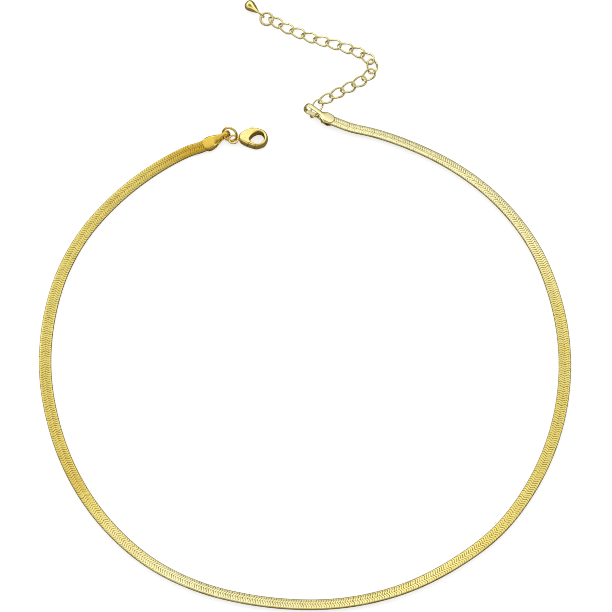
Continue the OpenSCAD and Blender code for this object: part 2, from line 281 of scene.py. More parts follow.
# %% Gold of the woven band
def rolled_strand_gold():
    """Rolled and plated strands: a burnished glint on each, and painted shade between them and at the band's
    edges.
    """
    material, tree, shader = new_material("gold_plated_rolled_strands")
    # the tone is partly plating and partly painted highlight, paler where the band catches the brightest
    # light, with a random drift added
    plating_and_highlight = add(tree, "ShaderNodeAttribute", {"attribute_name": "tone"})
    drift = spread(tree, cloud(tree, plating_mm, 3.0), 0.0, 1.0, -plating_drift, plating_drift)
    tone = add(tree, "ShaderNodeMath", {"operation": "ADD"}, {0: plating_and_highlight.outputs["Fac"], 1: drift})
    ramp = add(tree, "ShaderNodeValToRGB", {}, {"Fac": tone.outputs["Value"]})
    ramp.color_ramp.elements[0].color = linear(GOLD_DEEP)
    ramp.color_ramp.elements[1].color = linear(GOLD_PALE)
    ramp.color_ramp.elements.new(0.5).color = linear(GOLD_MIDDLE)
    # painted shade: the grooves and the band's edges take a deeper gold, weaker in random patches
    painted_groove_and_edge_shade = add(tree, "ShaderNodeAttribute", {"attribute_name": "painted_groove_and_edge_shade"})
    groove = spread(tree, painted_groove_and_edge_shade.outputs["Fac"], 0.04, 0.6)
    painted_shade_patches = spread(tree, cloud(tree, painted_shade_patch_mm, 2.0), 0.35, 0.65, least_shade, 1.0)
    shade = add(tree, "ShaderNodeMath", {"operation": "MULTIPLY"}, {0: groove, 1: painted_shade_patches})
    colour = add(tree, "ShaderNodeMix",
                 {"data_type": "RGBA", "blend_type": "MULTIPLY", "B": linear(GROOVE_PAINTED_SHADE)},
                 {"Factor": shade.outputs["Value"], "A": ramp.outputs["Color"]})
    # the roller marks stand up by a hundredth of a millimetre
    metal_surface(tree, shader, colour.outputs["Result"], cloud(tree, roller_mark_mm, 4.0),
                  band_rough, 0.12, roller_mark_depth_mm)
    return material


strand_gold = rolled_strand_gold()
print("material:", strand_gold.name)

# %% [markdown]
# ## Gold plating on polished fittings and on drawn wire
#
# The caps are stamped from sheet brass, the clasp and the teardrop are cast, and all
# are tumbled, buffed and plated. To the eye they are mirrors, softened only by faint
# swirls from the mop, so their roughness is about 0.1. Links and rings are drawn
# wire, with draw lines too small to see and a slightly softer shine. The plating is
# richer at the clasp's end and paler at the other one. Every metal keeps the default
# IOR, because its colour already says how it reflects.
#
# Real mop swirls are hair-fine. Here they are 0.3 to 0.5 mm wide, as coarse as they
# need to be to break up a highlight in the picture, and no more than 0.002 mm deep.

# %% Gold of the fittings and of the wire
RICH_PALE, RICH_DEEP = "#EBCA5C", "#D8B038"
CAST_PALE, CAST_DEEP = "#FBE9A2", "#EDCF68"
CREAM_PALE, CREAM_DEEP = "#F6EDBA", "#E9DA92"
WIRE_PALE, WIRE_DEEP = "#EFE4A0", "#D2C068"
shade_mm = 2.4


def plated_gold(name, pale, deep, rough, swirl_mm, swirl_depth_mm):
    """Plated metal with soft tone patches and fine polishing swirls."""
    material, tree, shader = new_material(name)
    patches = spread(tree, cloud(tree, shade_mm, 4.0), 0.35, 0.75)
    tone = add(tree, "ShaderNodeMix", {"data_type": "RGBA", "A": linear(pale), "B": linear(deep)},
               {"Factor": patches})
    metal_surface(tree, shader, tone.outputs["Result"], cloud(tree, swirl_mm, 6.0, 1.4),
                  rough, 0.3, swirl_depth_mm)
    return material


rich_gold = plated_gold("rich_gold_plated_stamped_brass", RICH_PALE, RICH_DEEP, (0.07, 0.13), 0.5, 0.002)
cast_gold = plated_gold("gold_plated_cast_brass", CAST_PALE, CAST_DEEP, (0.05, 0.1), 0.5, 0.0015)
cream_gold = plated_gold("pale_gold_plated_stamped_brass", CREAM_PALE, CREAM_DEEP, (0.08, 0.14), 0.5, 0.002)
wire_gold = plated_gold("gold_plated_drawn_wire", WIRE_PALE, WIRE_DEEP, (0.1, 0.18), 0.3, 0.002)
print("materials:", [m.name for m in (rich_gold, cast_gold, cream_gold, wire_gold)])

# %% [markdown]
# ## The way the band lies
#
# The loop is nearly round. Chosen points give, at angles round it, how far the band
# drifts from the circle, how much its flat face leans, and how far it lifts off the
# table, which is only close to the caps. A smooth curve through those points gives
# every place between. The points are the same ones that the CAD model uses, so the
# woven band fills the space of the plain one.

# %% Route of the band
band_w, band_t = 3.1, 0.9
loop_r = 64.3
loop_mid = np.array([0.05, -17.08])
band_route = np.array([
    [112.3, -1.4, 4, 0.68], [115, -1.4, 4, 0.36], [118, -0.9, 4, 0.12], [122, -0.7, 4, 0],
    [130, -0.5, 4, 0], [140, -0.1, 4, 0], [150, 0.4, 0, 0], [160, 0.5, 0, 0],
    [172, 0.2, 0, 0], [184, 0, 2, 0], [196, -0.2, 6, 0], [208, 0, 9, 0],
    [220, 0.3, 14, 0], [235, 0.5, 19, 0], [247, 0, 24, 0], [257, -0.6, 25, 0],
    [267, -0.8, 25, 0], [280, -0.5, 26, 0], [292, -0.2, 25, 0], [304, 0, 20, 0],
    [316, 0.5, 17, 0], [328, 0.3, 14, 0], [342, 0.1, 8, 0], [358, 0, 2, 0],
    [374, 0.1, -4, 0], [387, 0.4, -13, 0], [400, 0.2, -16, 0], [412, -0.3, -17, 0],
    [424, -0.8, -21, 0], [434, -0.8, -21, 0.04], [439, -0.8, -20, 0.22],
    [443, 0.1, -20, 0.46], [445.5, 0.95, -20, 0.72]
])  # angle, out mm, lean deg, lift mm
band_corners = np.array([[1, 0.35], [0.92, 0.8], [0.6, 0.95], [0, 1], [-0.6, 0.95], [-0.92, 0.8]])
band_corners = np.vstack([band_corners, -band_corners])


def smooth(table, u):
    """A smooth curve through the rows of a table, u counted in rows."""
    first, last = 2 * table[0] - table[1], 2 * table[-1] - table[-2]
    padded = np.vstack([first, table, last, last])
    i = np.clip(np.floor(u).astype(int), 0, len(table) - 2)
    t = (u - i)[:, None]
    a, b, c, d = (padded[i + k] for k in range(4))
    return 0.5 * (2 * b + (c - a) * t + (2 * a - 5 * b + 4 * c - d) * t**2 + (3 * b - a - 3 * c + d) * t**3)


def station(u):
    """Middle of the band (x, y, z) and its lean in degrees, at places u in the table."""
    row = smooth(band_route, np.atleast_1d(np.asarray(u, float)))
    angle, lean = np.radians(row[:, 0]), np.radians(row[:, 2])
    r = loop_r + row[:, 1]
    xy = loop_mid + r[:, None] * np.stack([np.cos(angle), np.sin(angle)], -1)
    up = np.max(band_corners[:, 0] * band_w / 2 * np.sin(lean)[:, None]
                + band_corners[:, 1] * band_t / 2 * np.cos(lean)[:, None], axis=1)
    return np.column_stack([xy, up + np.maximum(0, row[:, 3])]), row[:, 2]


# %% Distances along the band
fine = np.linspace(0, len(band_route) - 1, 12001)
fine_mid, fine_lean = station(fine)
fine_step = np.linalg.norm(np.diff(fine_mid, axis=0), axis=1)
fine_way = np.concatenate([[0], np.cumsum(fine_step)])
fine_angle = smooth(band_route, fine)[:, 0]
band_length, look_ahead = fine_way[-1], 0.2
print(f"band length {band_length:.1f} mm")


def middle(along):
    """Points of the band's middle line, by their distance along it."""
    return np.stack([np.interp(along, fine_way, fine_mid[:, k]) for k in range(3)], -1)


def on_band(along, across, above):
    """World points from places along the band, across it and above its middle plane."""
    mid = middle(along)
    way = unit((middle(along + look_ahead) - middle(along - look_ahead))[..., :2])
    out = np.stack([way[..., 1], -way[..., 0]], -1)
    lean = np.radians(np.interp(along, fine_way, fine_lean))
    side = across * np.cos(lean) - above * np.sin(lean)
    rise = across * np.sin(lean) + above * np.cos(lean)
    return np.concatenate([mid[..., :2] + out * side[..., None], (mid[..., 2] + rise)[..., None]], -1)


# %% [markdown]
# ## The woven strands
#
# A herringbone chain is made of flattened wire links, laid slanted and side by side,
# so that they wrap round the front, the edge and the back in a zigzag. It could be
# done with a bump texture, but the strands catch light on their shoulders and the
# edges of the band look finely toothed, and only real geometry gives both. So each
# row is a closed zigzag hoop: it goes round the section once, and its own profile is
# a strand with a flat top and soft shoulders.
#
# The rows of the real band are finer than the picture can show. They are drawn
# 0.6 mm apart, as coarse as they need to be to show. Rolling has pressed the outer
# columns and the end near the right cap almost smooth, so the strands get shallower
# there. Tiny seeded differences in tilt and place keep the glints from lining up
# like a comb.

# %% Section of the band
columns = 8
steps_per_column = 6
strand_inset = 0.02
section_power = 2 / 3.5


def section_loop(q, inset):
    """Place and outward direction on the band's rounded section, q from 0 to 8."""
    a, b = band_w / 2 - inset, band_t / 2 - inset
    x, z = oblong(np.linspace(0, 2 * np.pi, 4001), section_power, section_power)
    x, z = a * x, b * z
    length = np.concatenate([[0], np.cumsum(np.hypot(np.diff(x), np.diff(z)))])
    s = (np.asarray(q) % columns) / columns * length[-1]
    px, pz = np.interp(s, length, x), np.interp(s, length, z)
    ahead, behind = (s + 0.04) % length[-1], (s - 0.04) % length[-1]
    tx, tz = (np.interp(ahead, length, v) - np.interp(behind, length, v) for v in (x, z))
    size = np.hypot(tx, tz)
    return px, pz, tz / size, -tx / size


# %% Tone of the plating, partly painted highlight
# pale here is partly painted highlight: the front of the loop and the stretch to the right cap catch the
# brightest light
plating_and_highlight_tone = np.array([
    [112, 0], [119, 0.05], [126, 0.3], [135, 0.45], [170, 0.5], [190, 0.42], [210, 0.28], [225, 0.7],
    [240, 1], [255, 1], [270, 0.82], [300, 0.65], [315, 0.52], [330, 0.5], [360, 0.5], [375, 0.6],
    [390, 0.95], [400, 1], [446, 1]
])  # angle round the loop, share from deep to pale


def name_plating_and_highlight_tone(thing, along):
    """Keeps the tone, partly plating and partly painted highlight, on the points of a piece of the band."""
    angle = np.interp(np.ravel(along), fine_way, fine_angle)
    name_points(thing, "tone", np.interp(angle, plating_and_highlight_tone[:, 0], plating_and_highlight_tone[:, 1]))


# %% Sizes of a strand
row_pitch = 0.6
zigzag, soft_turn = 0.24, 0.985
strand_share = 0.985
column_sag, row_slope = 0.035, 0.012
row_wander, row_tilt = 0.012, 0.01
rolled_from, rolled_over, rolled_flat = 0.5, 0.7, 0.5
smooth_from, smooth_over, smooth_flat = 400, 30, 0.55
proud = 0.004
groove_depth = 0.14
edge_start = 1.28
strand_profile = np.array([
    [-1.0, -0.11], [-0.88, -0.03], [-0.62, -0.009], [-0.3, -0.002], [0.0, 0.0], [0.3, -0.002],
    [0.62, -0.01], [0.88, -0.033], [1.0, -0.12], [0.6, -0.24], [-0.6, -0.24]
])  # share of half a pitch along the band, mm above the strand's top
row_starts = np.arange(0.45, band_length - 0.4, row_pitch)
print(len(row_starts), "rows, one every", row_pitch, "mm")


# %% Rows of strands
def woven_rows(name, starts):
    """One mesh of zigzag strands that start at the given places along the band."""
    q = np.arange(columns * steps_per_column) / steps_per_column
    px, pz, nx, nz = section_loop(q, strand_inset)
    rows, n, m = len(starts), len(q), len(strand_profile)
    part_way, lift = strand_profile[:, 0], strand_profile[:, 1]
    # along the band: a zigzag with one turn at each column's edge
    zig = zigzag * (2 / np.pi) * np.arcsin(soft_turn * np.cos(np.pi * (q + 1)))
    jitter = rng.normal(0, row_wander, (rows, 1, 1))
    tilt = rng.normal(0, row_tilt, (rows, columns))[:, (q.astype(int)) % columns][:, :, None]
    along = (starts[:, None, None] + jitter + zig[None, :, None]
             + part_way[None, None, :] * row_pitch / 2 * strand_share)
    # above the section: shoulders, a sag at each turn, a slope, and what rolling leaves
    sag = -column_sag * np.abs(2 * (q % 1) - 1)**3
    rolled = 1 - rolled_flat * np.clip((np.abs(px) - rolled_from) / rolled_over, 0, 1)
    to_end = np.clip((np.interp(starts, fine_way, fine_angle) - smooth_from) / smooth_over, 0, 1)
    height = (lift[None, None, :] + sag[None, :, None]
              - row_slope * part_way[None, None, :] + tilt * part_way[None, None, :])
    height = height * rolled[None, :, None] * (1 - smooth_flat * to_end)[:, None, None]
    height = np.minimum(height, proud)
    across = px[None, :, None] + nx[None, :, None] * height
    above = pz[None, :, None] + nz[None, :, None] * height
    points = on_band(np.clip(along, 0, band_length), across, above).reshape(-1, 3)
    faces = quads(n, m, loop_rings=True)
    faces = (faces[None] + (np.arange(rows) * n * m)[:, None, None]).reshape(-1, 4)
    thing = mesh_object(name, points, faces)
    # painted shade along the band's outer edges, added to the painted shade in the grooves
    painted_edge_shade = np.clip((np.abs(across) - edge_start) / (band_w / 2 - edge_start), 0, 1)**2
    name_points(thing, "painted_groove_and_edge_shade", np.clip(-height / groove_depth + painted_edge_shade, 0, 1).reshape(-1))
    name_plating_and_highlight_tone(thing, along)
    return thing


# %% Weave the band
weave = []
for i, part in enumerate(np.array_split(row_starts, 4)):
    weave.append(woven_rows(f"herringbone_rows_{i + 1}", part))
print("triangles in the weave:", sum(len(w.data.polygons) for w in weave) * 2)

# %% [markdown]
# ## The heart of the band
#
# Between the strands one can see a little way in. In a real band that is the far
# side of the links. Here a plain ribbon, a bit thinner than the band, closes the
# view, and the strands lie on it. It wears the same gold with the painted groove shade
# at full strength all over, so it shows as painted shade between the strands.

# %% Ribbon under the strands
core_inset, core_sides, core_rings = 0.2, 32, 900


def band_core():
    """A ribbon inside the weave."""
    q = np.linspace(0, columns, core_sides + 1)[:-1]
    px, pz, _, _ = section_loop(q, core_inset)
    along = np.linspace(0.1, band_length - 0.1, core_rings)
    thing = tube("band_core", on_band(*np.broadcast_arrays(along[:, None], px, pz)))
    # painted groove shade at full strength all over the ribbon
    name_points(thing, "painted_groove_and_edge_shade", np.ones(len(thing.data.vertices)))
    name_plating_and_highlight_tone(thing, np.repeat(along, len(q)))
    return thing


for part in [band_core(), *weave]:
    finish_piece(part, strand_gold, "necklace", "chain_band")
    print(part.name, len(part.data.vertices), "points")

# %% [markdown]
# ## End caps
#
# Each cap is stamped from one strip of sheet brass. The strip has a leaf at both
# ends and a narrow waist, and it is folded over so that the waist makes a round eye
# and the two leaves pinch the band. That is also how it is modelled: one closed loop
# of points, the strip's section, travels from rim to rim along the side view, and its
# width follows the leaf's outline. The section is a soft oblong, so every edge of
# the sheet is rounded the way tumbling leaves it. The sides of the leaves are bent
# down round the edges of the band, as pliers leave them when they crimp a cap.
#
# The left leaf has a blunt rim and a long taper, the right one is an oval.

# %% Sizes of the caps
cap_overhang, leaf_l, cap_grip, strip_t, eye_r = 0.3, 4.3, 2.4, 0.34, 1.15
left_waist, right_waist = 1.0, 1.35
cap_l_left, cap_l_right = 7.7, 8.5
left_taper, right_taper = 5.3, 4.3
cap_turn_left, cap_turn_right = 6, -7
leaf_outline = np.array([
    [0, 0], [0.01, 0.3], [0.05, 0.6], [0.12, 0.84], [0.22, 0.97], [0.32, 1], [0.45, 0.95],
    [0.58, 0.84], [0.7, 0.69], [0.81, 0.52], [0.91, 0.38]
])  # share of the taper, share of the leaf's half width
oval_outline = np.array([
    [0, 0], [0.01, 0.24], [0.05, 0.5], [0.12, 0.72], [0.22, 0.9], [0.32, 0.98], [0.42, 1],
    [0.54, 0.94], [0.66, 0.8], [0.78, 0.61], [0.9, 0.44]
])
leaf_gap = band_t / 2 + 0.08
eye_out = eye_r + strip_t
cap_w = band_w + 2 * cap_overhang
print("widest place of a leaf:", round(cap_w, 2), "mm")

# %% Where the caps sit
first, second = station([0, 1 / 3])[0]
left_heading = math.degrees(math.atan2(second[1] - first[1], second[0] - first[0])) + 180 + cap_turn_left
end_u = len(band_route) - 1
before, final = station([end_u - 1 / 3, end_u])[0]
right_heading = math.degrees(math.atan2(final[1] - before[1], final[0] - before[0])) + cap_turn_right


def end_pitch(u, u_in):
    """How steeply the band rises towards its end, in degrees."""
    end, inner = station([u, u_in])[0]
    return math.degrees(math.atan((end[2] - inner[2]) / np.linalg.norm(end[:2] - inner[:2])))


def cap_place(end, heading, pitch, lean):
    """Place of a cap whose X axis runs on from the end of the band."""
    return shift(*end) @ turn(heading, "Z") @ turn(-pitch, "Y") @ turn(lean, "X")


left_end, right_end = station(0)[0][0], station(end_u)[0][0]
left_place = cap_place(left_end, left_heading, end_pitch(0, 1), band_route[0, 2])
right_place = cap_place(right_end, right_heading, end_pitch(end_u, end_u - 1), -band_route[-1, 2])
print("ends of the band at", np.round(left_end, 2), np.round(right_end, 2))

# %% Side view of the folded strip
eye_sweep, close_l = 75, 3


def side_view(length, count=150):
    """Middle line of the folded strip seen from the side, closer set near both rims."""
    x0, x1 = -cap_grip, leaf_l - cap_grip
    mid = leaf_gap + strip_t / 2
    r = eye_r + strip_t / 2
    centre = length - cap_grip - eye_out
    bend = np.radians(np.linspace(eye_sweep, -eye_sweep, 25))
    eye = np.column_stack([centre + r * np.cos(bend), r * np.sin(bend)])
    line = np.vstack([[x0, mid], [x1 - 0.9, mid], eye, [x1 - 0.9, -mid], [x0, -mid]])
    step = np.concatenate([[0], np.cumsum(np.linalg.norm(np.diff(line, axis=0), axis=1))])
    s = np.linspace(0, step[-1], count)
    crowd = 0.5 - 0.5 * np.cos(np.pi * np.clip(s / close_l, 0, 1))
    s = np.where(s < close_l, close_l * crowd, s)
    far = step[-1] - close_l * (0.5 - 0.5 * np.cos(np.pi * (step[-1] - s) / close_l))
    s = np.where(s > step[-1] - close_l, far, s)
    path = np.column_stack([np.interp(s, step, line[:, k]) for k in range(2)])
    kernel = np.ones(7) / 7
    inner = np.column_stack([np.convolve(path[:, k], kernel, "same") for k in range(2)])
    path[4:-4] = inner[4:-4]
    return path


# %% Width of the strip
def half_width(x, taper, outline, waist):
    """Half the strip's width at x, by the leaf's outline and the waist's width."""
    share = np.clip((x + cap_grip) / taper, 0, 1)
    ends = np.vstack([outline, [1.0, waist / cap_w]])
    return np.maximum(np.interp(share, ends[:, 0], ends[:, 1]) * cap_w / 2, 0.02)


# %% Fold the caps
lip_drop, lip_from, lip_over = 0.34, 1.4, 0.4
leaf_dome = 0.05
thin_under = 0.35
strip_rim, strip_face = 0.4, 0.7
shut_over, open_from, open_over = 0.5, 1.9, 0.6


def cap_piece(name, length, taper, waist, outline, matrix):
    """Strip with its leaf edges bent down round the edges of the band."""
    path = side_view(length)
    way = unit(np.gradient(path, axis=0))
    normal = np.column_stack([-way[:, 1], way[:, 0]])
    half = half_width(path[:, 0], taper, outline, waist)
    y, t = oblong(np.linspace(0, 2 * np.pi, 41)[:-1], strip_rim, strip_face)
    thick = strip_t / 2 * np.clip(half / thin_under, 0.15, 1)
    off = thick[:, None] * t[None, :]
    wide = np.abs(y[None, :] * half[:, None])
    # the lips hug the band, then close up between the band's end and the waist
    hug = lip_drop * eased((wide - lip_from) / lip_over)
    beyond = eased(path[:, 0:1] / shut_over) * eased((open_from - path[:, 0:1]) / open_over)
    close = lip_drop * (wide / half[:, None])**4 * beyond
    sag = -np.maximum(hug, close) - leaf_dome * (wide / (cap_w / 2))**2
    x = path[:, 0:1] + normal[:, 0:1] * off
    z = path[:, 1:2] + normal[:, 1:2] * off + sag * np.sign(path[:, 1:2])
    return tube(name, put(np.stack([x, half[:, None] * y[None, :], z], -1), matrix))


left_cap = cap_piece("left_cap", cap_l_left, left_taper, left_waist, leaf_outline, left_place)
right_cap = cap_piece("right_cap", cap_l_right, right_taper, right_waist, oval_outline, right_place)
finish_piece(left_cap, rich_gold, "necklace", "end_cap_left")
finish_piece(right_cap, cream_gold, "necklace", "end_cap_right")
print("faces of the caps:", len(left_cap.data.polygons), len(right_cap.data.polygons))

# %% [markdown]
# ## Rings of round wire
#
# A jump ring is a bent length of round wire. Its mesh is a doughnut with many sides,
# because polished wire shows every facet as a break in its long highlight. The one
# at the clasp stands steeply through the left cap's eye and the clasp's eyelet.

# %% Wire rings
def wire_ring(d, wire, count=120, sides=24, gap=0):
    """Rings of points for a ring of round wire in the XY plane, open by a gap in degrees."""
    a = np.radians(np.linspace(0, 360 - gap, count + 1))[:None if gap else count, None]
    q = np.radians(np.arange(sides) * 360 / sides)[None, :]
    r = (d - wire) / 2 + wire / 2 * np.cos(q)
    return np.stack(np.broadcast_arrays(r * np.cos(a), r * np.sin(a), wire / 2 * np.sin(q)), -1)


def direction(heading):
    """A direction in the plane, one long."""
    return np.array([math.cos(math.radians(heading)), math.sin(math.radians(heading))])


def along_way(point, heading, distance):
    """A point in the plane, some way from another one in a direction."""
    return point[:2] + distance * direction(heading)


left_eye = along_way(left_end, left_heading, cap_l_left - cap_grip - eye_out)
right_eye = along_way(right_end, right_heading, cap_l_right - cap_grip - eye_out)
print("eyes of the caps at", np.round(left_eye, 2), np.round(right_eye, 2))

# %% Ring of the clasp
clasp_ring_d, clasp_ring_wire, clasp_ring_z = 4.4, 0.6, 2.31
ring_spot = left_eye + [1.28, -0.19]
ring_place = shift(*ring_spot, clasp_ring_z) @ turn(-23, "Z") @ turn(60, "X")
clasp_ring = hoop("clasp_jump_ring", put(wire_ring(clasp_ring_d, clasp_ring_wire), ring_place))
finish_piece(clasp_ring, rich_gold, "necklace", "clasp_ring")
print("ring of the clasp at", np.round(ring_spot, 2))

# %% [markdown]
# ## The lobster clasp
#
# The clasp body is a small casting: a flat pear with a window cut through it, a slot
# for the trigger, a gap that the trigger's gate closes and an eyelet at the tail.
# Its outline is a smooth curve through chosen points. The curve is stacked in levels
# from face to face, pulled in near both faces by a quarter circle, which gives the
# soft cast edge. The window, the slot and the bore are taken away with booleans, as
# a jeweller would saw and drill them.

# %% Sizes of the clasp
clasp_l, clasp_t, trigger_t, pin_d, eyelet_d, eyelet_wire = 7.8, 2.6, 1.0, 0.6, 2.8, 0.55
claw_outline = np.array([
    [0.01, -0.04], [0.02, 0.05], [0.065, 0.12], [0.175, 0.21], [0.335, 0.285], [0.575, 0.315],
    [0.775, 0.27], [0.91, 0.17], [0.985, 0], [0.96, -0.17], [0.865, -0.31], [0.68, -0.385],
    [0.56, -0.395], [0.4, -0.345], [0.25, -0.285], [0.11, -0.2], [0.05, -0.13]
])  # shares of the clasp's length
claw_hole = np.array([
    [0.385, -0.13], [0.41, -0.05], [0.47, 0.035], [0.55, 0.1], [0.64, 0.14], [0.73, 0.14],
    [0.8, 0.09], [0.84, 0.01], [0.85, -0.085], [0.82, -0.175], [0.75, -0.24], [0.66, -0.27],
    [0.57, -0.25], [0.46, -0.185]
])
cast_edge, window_edge = 0.6, -0.34
tail_from_eyelet = np.array([1.2, 0.45])
claw_place = shift(*(ring_spot + [0.89, -0.88] + tail_from_eyelet), 0)
print("tail of the clasp at", np.round(claw_place[:2, 3], 2))

# %% Sizes of the trigger
pivot = clasp_l * np.array([0.225, -0.092])
seam = clasp_l * np.array([0.57, -0.355])
gate_open, stub_way, stub_w, stub_reach, slot_reach = 24, 62, 1.1, 4.15, 6
hub_r, plate_w, plate_lap, cheek_r, slot_play = 0.85, 0.85, 0.5, 1.75, 0.12
gate_out, gate_in = 1.6, 1.2
gate_way = math.degrees(math.atan2(*(seam - pivot)[::-1]))
gate_l = np.linalg.norm(seam - pivot)
past_face, past_bore = 0.2, 0.3
pin_fit, pin_play, arm_start = 0.02, 0.05, 0.2
print(f"the gate reaches {gate_l:.2f} mm from its pin, {gate_way:.0f} degrees round")


# %% Outlines and levels
def closed_curve(table, steps):
    """A smooth closed curve through the rows of a table."""
    n = len(table)
    u = np.arange(n * steps) / steps
    i = np.floor(u).astype(int)
    t = (u - i)[:, None]
    a, b, c, d = (table[(i + k) % n] for k in (-1, 0, 1, 2))
    return 0.5 * (2 * b + (c - a) * t + (2 * a - 5 * b + 4 * c - d) * t**2 + (3 * b - a - 3 * c + d) * t**3)


def pulled_in(curve, distance):
    """A closed curve moved square to itself."""
    way = unit(np.roll(curve, -1, 0) - np.roll(curve, 1, 0))
    return curve + distance * np.column_stack([way[:, 1], -way[:, 0]])


def cast_levels(table, steps, pull, levels=15):
    """Levels of a casting: full size half way up, pulled in by a quarter circle at the faces."""
    shape = closed_curve(table, steps) * clasp_l
    out = []
    for phi in np.radians(np.linspace(0, 180, levels)):
        flat = pulled_in(shape, pull * (1 - math.sin(phi)))
        out.append(np.column_stack([flat, np.full(len(flat), clasp_t * (1 - math.cos(phi)) / 2)]))
    return np.array(out)


def plate(points, z0, z1):
    """Two levels of one outline."""
    return np.array([np.column_stack([points, np.full(len(points), z)]) for z in (z0, z1)])


def disc(centre, r, count=72):
    """Outline of a circle."""
    a = np.radians(np.arange(count) * 360 / count)
    return centre + r * np.column_stack([np.cos(a), np.sin(a)])


# %% Cutting and joining
def carve(target, tool, how="DIFFERENCE"):
    """Applies one boolean and deletes its tool."""
    cut = target.modifiers.new("cut", "BOOLEAN")
    cut.operation, cut.solver, cut.object = how, "EXACT", tool
    graph = bpy.context.evaluated_depsgraph_get()
    mesh = bpy.data.meshes.new_from_object(target.evaluated_get(graph))
    target.modifiers.clear()
    target.data = mesh
    bpy.data.objects.remove(tool)


def carve_plate(target, outline, low, high, how="DIFFERENCE"):
    """Cuts away, joins or keeps what a plate of one outline takes up."""
    carve(target, tube("plate", put(plate(outline, low, high), claw_place)), how)


# %% Room for the trigger
def arm(way, w, start, reach):
    """Corners of a straight arm that leaves the pivot in a direction."""
    d = direction(way)
    s = np.array([-d[1], d[0]])
    return np.array([pivot + d * start - s * w / 2, pivot + d * reach - s * w / 2,
                     pivot + d * reach + s * w / 2, pivot + d * start + s * w / 2])


def swept_arm(way, w, reach):
    """Outline of the room that an arm needs while the trigger turns."""
    fan = [along_way(pivot, a, reach) for a in np.linspace(way, way + gate_open, 7)]
    low, high = arm(way, w, 0, reach), arm(way + gate_open, w, 0, reach)
    return np.array([low[0], low[1], *fan, high[2], high[3]])


def gate_stretch(play):
    """Outline of the stretch of the claw that the gate takes up, cut by circles round the pin."""
    out = []
    for r, ends in ((gate_l - slot_play / 2 + play, (-gate_out, gate_in)),
                    (cheek_r + slot_play - play, (gate_in, -gate_out))):
        first, last = (math.asin(v / r) for v in ends)
        a = np.linspace(first, last, 33) + math.radians(gate_way)
        out.append(pivot + r * np.column_stack([np.cos(a), np.sin(a)]))
    return np.vstack(out)


# %% Body of the clasp
def claw_casting(name):
    """The claw as it is cast, with its window but without the trigger's cuts."""
    body = tube(name, put(cast_levels(claw_outline, 8, cast_edge), claw_place))
    hole = cast_levels(claw_hole, 8, window_edge)
    top, bottom = hole[-1].copy(), hole[0].copy()
    top[:, 2] += past_face
    bottom[:, 2] -= past_face
    carve(body, tube("window", put(np.concatenate([[bottom], hole, [top]]), claw_place)))
    return body


def clasp_shell():
    """The casting with its slot, its gap and its bore."""
    body = claw_casting("clasp_shell")
    room = trigger_t / 2 + slot_play
    low, high = clasp_t / 2 - room, clasp_t / 2 + room
    for outline in (disc(pivot, hub_r + slot_play), swept_arm(gate_way, plate_w + 2 * slot_play, gate_l),
                    swept_arm(stub_way, stub_w + 2 * slot_play, slot_reach)):
        carve_plate(body, outline, low, high)
    carve_plate(body, gate_stretch(slot_play), -past_face, clasp_t + past_face)
    carve_plate(body, disc(pivot, pin_d / 2 + pin_fit, 48), -past_bore, clasp_t + past_bore)
    return body


clasp = clasp_shell()
sharpen(clasp, 38)
finish_piece(clasp, cast_gold, "necklace", "clasp_body")
print("clasp faces:", len(clasp.data.polygons))


# %% Eyelet at the tail
neck_l = 0.9
neck_half_w, neck_half_h = (0.36, 0.2), (0.26, 0.35)  # at the ring, and how much more at the claw


def eyelet():
    """A ring with a neck that widens into the claw, cast in one with it."""
    place = claw_place @ shift(*-tail_from_eyelet, clasp_t / 2)
    ring = hoop("clasp_eyelet", put(wire_ring(eyelet_d, eyelet_wire, 96, 20), place))
    way = np.append(tail_from_eyelet / np.linalg.norm(tail_from_eyelet), 0)
    side = np.array([-way[1], way[0], 0])
    q = np.radians(np.arange(20) * 18)
    rings = []
    for s in np.linspace(0, 1, 9):
        centre = way * (eyelet_d / 2 - eyelet_wire * 0.6 + s * neck_l)
        w, h = (at + more * s * s for at, more in (neck_half_w, neck_half_h))
        rings.append(centre + side * (w * np.cos(q))[:, None] + np.array([0, 0, 1]) * (h * np.sin(q))[:, None])
    carve(ring, tube("neck", put(np.array(rings), place)), "UNION")
    return ring


tail = eyelet()
sharpen(tail, 60)
finish_piece(tail, cast_gold, "necklace", "clasp_body")
print("eyelet faces:", len(tail.data.polygons))

# %% [markdown]
# ## The trigger and its pin
#
# A sprung trigger turns on a pin through the clasp. Its gate closes the hook, and its
# stub is what a thumb pulls. On the real clasp the gate follows the claw's form, so
# that the hook looks whole when it is shut. So the gate is made from the claw's own
# casting: the stretch between two circles round the pin is kept, and because it is
# cut by circles it turns without touching. A hub and a thin plate hold it to the
# pin, and the stub is a lever with a rounded end. The trigger rides on its own body,
# so it swings when the joint moves. The pin is simple and already exact in the CAD
# model, so that node stays and only gets a finish.

# %% Stub of the trigger
round_from, round_over, tip_t = 0.9, 0.1, 0.6  # shares of the stub's length and thickness


def lever(name, way, w, t, start, reach):
    """A straight arm with an oblong section and a rounded end."""
    d = np.append(direction(way), 0)
    side = np.array([-d[1], d[0], 0])
    y, z = oblong(np.linspace(0, 2 * np.pi, 33)[:-1], 0.5, 0.5)
    rings = []
    tip = round_from + round_over * np.sin(np.linspace(0.2, np.pi / 2, 8))
    for s in np.concatenate([np.linspace(0, round_from, 14), tip]):
        end = math.sqrt(max(0.02, 1 - max(0, (s - round_from) / round_over)**2))
        centre = np.array([*pivot, clasp_t / 2]) + d * (start + (reach - start) * s)
        rings.append(centre + side * (w * end / 2 * y)[:, None]
                     + np.array([0, 0, 1]) * (t * (tip_t + (1 - tip_t) * end) / 2 * z)[:, None])
    return tube(name, put(np.array(rings), claw_place))


